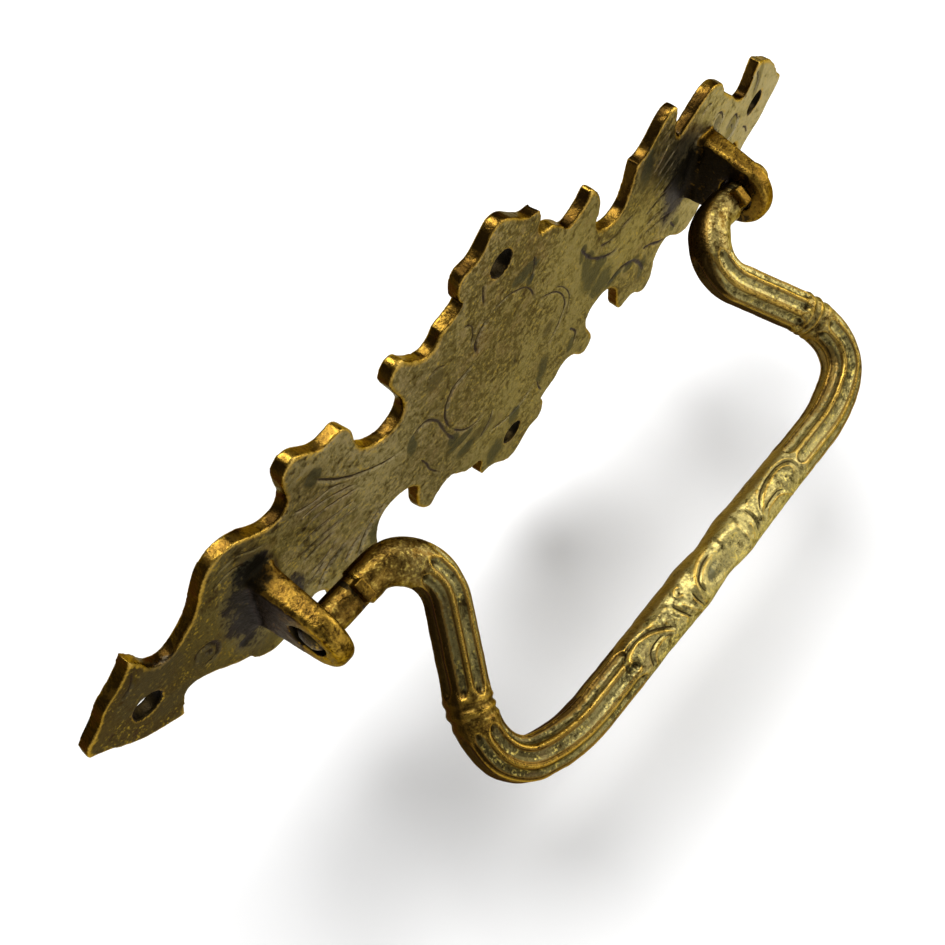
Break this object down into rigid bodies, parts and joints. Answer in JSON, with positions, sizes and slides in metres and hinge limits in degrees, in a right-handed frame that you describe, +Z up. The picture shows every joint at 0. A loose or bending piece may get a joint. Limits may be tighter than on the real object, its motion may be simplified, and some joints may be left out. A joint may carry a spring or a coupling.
{
  "type": "bail drawer pull",
  "caption": "Rococo drawer pull: a bowed, scalloped cast brass backplate with two pierced ears carrying a fluted swan-neck bail handle that swings.",
  "frame": {"origin": "midway between the two end screw holes, on the flat plane of the plate's filed ends", "axes": "+X along the plate towards its right end, +Z up, the plate's face towards -Y"},
  "size_m": [0.1516, 0.0444, 0.062],
  "materials": {
    "plate_brass": "aged cast brass, brown and green-grey on its face with gold on its worn edges",
    "bail_brass": "aged cast brass, dark in the flutes with worn gold ridges"
  },
  "bodies": {
    "plate": {"backplate": "plate_brass"},
    "bail": {"bail": "bail_brass"}
  },
  "joints": [
    {"name": "bail_swing", "type": "hinge", "parent": "plate", "child": "bail", "pos_m": [0, -0.01124, 0.0013], "axis": [1, 0, 0], "range_deg": [-132, 62]}
  ]
}
